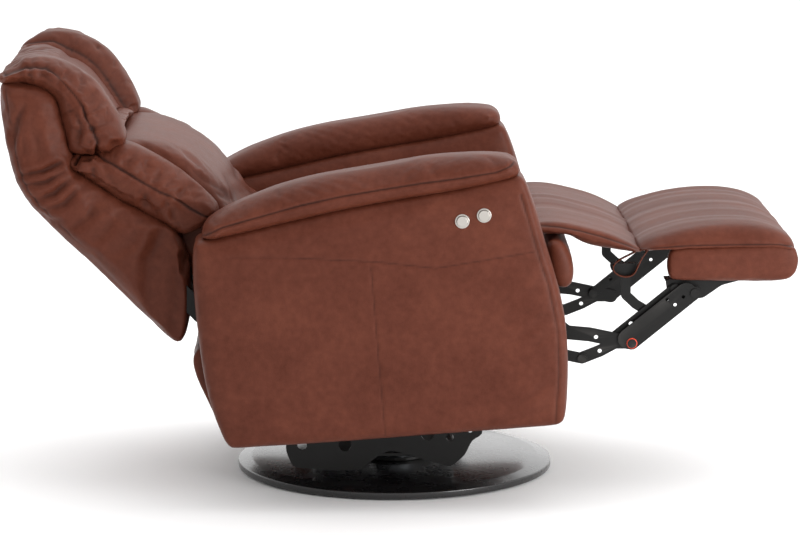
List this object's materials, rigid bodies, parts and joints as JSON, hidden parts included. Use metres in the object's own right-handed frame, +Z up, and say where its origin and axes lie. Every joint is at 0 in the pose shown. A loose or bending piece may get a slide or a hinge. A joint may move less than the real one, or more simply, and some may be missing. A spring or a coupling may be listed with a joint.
{
  "type": "recliner armchair",
  "caption": "Power recliner with a rolled back, a hinged headrest and a folding footrest, upholstered in brown leather, turning on a flat round base.",
  "frame": {"origin": "centre of the felt pad's underside on the floor, on the swivel axis", "axes": "+X the way the sitter faces, towards the footrest; +Y the sitter's left; +Z up"},
  "size_m": [1.4642, 0.82, 0.8391],
  "materials": {
    "leather": "semi-aniline brown leather with a soft sheen",
    "disc_lacquer": "black gloss lacquer on a pressed disc",
    "black_steel": "satin black powder coat on stamped steel",
    "zinc_steel": "zinc plated steel",
    "black_plastic": "black moulded nylon",
    "button_metal": "satin nickel button cap",
    "plywood": "birch plywood, sealed",
    "felt": "pressed grey felt"
  },
  "bodies": {
    "base": {"floor_pad": "felt", "base_disc": "disc_lacquer", "swivel_post": "black_steel"},
    "turntable": {"swivel_bearing": "zinc_steel", "swivel_plate": "black_steel", "base_plate_right": "black_steel", "base_plate_left": "black_steel"},
    "seat_frame": {"side_plate_right": "black_steel", "side_plate_left": "black_steel", "tilt_axle": "zinc_steel", "lower_front_tube": "black_steel", "front_cross_rail": "black_steel", "rear_cross_rail": "black_steel", "footrest_motor": "black_plastic", "footrest_rail": "zinc_steel", "back_motor": "black_plastic", "back_rail": "zinc_steel", "power_inlet": "black_plastic", "seat_deck": "plywood", "seat_cushion": "leather", "front_roll": "leather", "rear_apron": "leather", "arm_right": "leather", "arm_left": "leather", "arm_pad_right": "leather", "arm_pad_left": "leather", "switch_housing": "black_plastic"},
    "footrest_drive": {"footrest_carriage": "black_plastic"},
    "back_drive": {"back_carriage": "black_plastic"},
    "close_button": {"button_close": "button_metal"},
    "open_button": {"button_open": "button_metal"},
    "backrest": {"back_shell": "leather", "back_board": "plywood", "back_bracket_right": "black_steel", "back_bracket_left": "black_steel", "back_cushion": "leather", "bolster_right": "leather", "bolster_left": "leather"},
    "headrest": {"head_shell": "leather", "head_board": "plywood", "head_hinge": "black_steel", "head_cushion": "leather"},
    "footrest": {"calf_flap": "leather", "footrest_pad": "leather", "footrest_board": "plywood", "pad_bracket_right": "black_steel", "pad_bracket_left": "black_steel"},
    "levers": {"lever_tube": "black_steel", "lever_right": "black_steel", "lever_left": "black_steel"},
    "long_links": {"long_link_right": "black_steel", "long_link_left": "black_steel"},
    "upper_links": {"upper_link_right": "black_steel", "upper_link_left": "black_steel", "flap_support_right": "black_steel", "flap_support_left": "black_steel"},
    "drive_links": {"drive_link_right": "black_steel", "drive_link_left": "black_steel"},
    "rockers": {"rocker_right": "black_steel", "rocker_left": "black_steel"}
  },
  "joints": [
    {"name": "swivel", "type": "hinge", "parent": "base", "child": "turntable", "pos_m": [0, 0, 0.045], "axis": [0, 0, 1], "continuous": true},
    {"name": "body_tilt", "type": "hinge", "parent": "turntable", "child": "seat_frame", "pos_m": [0, 0, 0.15], "axis": [0, 1, 0], "range_deg": [0, 4]},
    {"name": "back_recline", "type": "hinge", "parent": "seat_frame", "child": "backrest", "pos_m": [-0.215, 0, 0.385], "axis": [0, 1, 0], "range_deg": [0, 34]},
    {"name": "headrest_tilt", "type": "hinge", "parent": "backrest", "child": "headrest", "pos_m": [-0.672, 0, 0.58], "axis": [0, 1, 0], "range_deg": [-20, 0]},
    {"name": "footrest_fold", "type": "hinge", "parent": "seat_frame", "child": "footrest", "pos_m": [0.338, 0, 0.47], "axis": [0, 1, 0], "range_deg": [0, 90]},
    {"name": "lever_turn", "type": "hinge", "parent": "seat_frame", "child": "levers", "pos_m": [0.223, 0, 0.376], "axis": [0, 1, 0], "range_deg": [0, 90]},
    {"name": "long_link_turn", "type": "hinge", "parent": "levers", "child": "long_links", "pos_m": [0.434, 0, 0.284], "axis": [0, 1, 0], "range_deg": [-90, 0]},
    {"name": "upper_link_turn", "type": "hinge", "parent": "levers", "child": "upper_links", "pos_m": [0.398, 0, 0.291], "axis": [0, 1, 0], "range_deg": [-90, 0]},
    {"name": "drive_link_turn", "type": "hinge", "parent": "levers", "child": "drive_links", "pos_m": [0.342, 0, 0.256], "axis": [0, 1, 0], "range_deg": [-90, 0]},
    {"name": "rocker_turn", "type": "hinge", "parent": "seat_frame", "child": "rockers", "pos_m": [0.153, 0, 0.391], "axis": [0, 1, 0], "range_deg": [0, 90]},
    {"name": "footrest_carriage_slide", "type": "slide", "parent": "seat_frame", "child": "footrest_drive", "axis": [-1, 0, 0], "range_m": [0, 0.17]},
    {"name": "back_carriage_slide", "type": "slide", "parent": "seat_frame", "child": "back_drive", "axis": [1, 0, 0], "range_m": [0, 0.1]},
    {"name": "close_button_press", "type": "slide", "parent": "seat_frame", "child": "close_button", "axis": [0, 1, 0], "range_m": [0, 0.002], "stiffness_N_per_m": 300, "springref_m": -0.001},
    {"name": "open_button_press", "type": "slide", "parent": "seat_frame", "child": "open_button", "axis": [0, 1, 0], "range_m": [0, 0.002], "stiffness_N_per_m": 300, "springref_m": -0.001}
  ],
  "couplings": [
    {"joint": "body_tilt", "follows": "back_recline", "ratio": 0.11765},
    {"joint": "lever_turn", "follows": "footrest_fold", "ratio": 1},
    {"joint": "long_link_turn", "follows": "footrest_fold", "ratio": -1},
    {"joint": "upper_link_turn", "follows": "footrest_fold", "ratio": -1},
    {"joint": "drive_link_turn", "follows": "footrest_fold", "ratio": -1},
    {"joint": "rocker_turn", "follows": "footrest_fold", "ratio": 1},
    {"joint": "footrest_carriage_slide", "follows": "footrest_fold", "m_per_rad": 0.10186},
    {"joint": "back_carriage_slide", "follows": "back_recline", "m_per_rad": 0.15167}
  ]
}
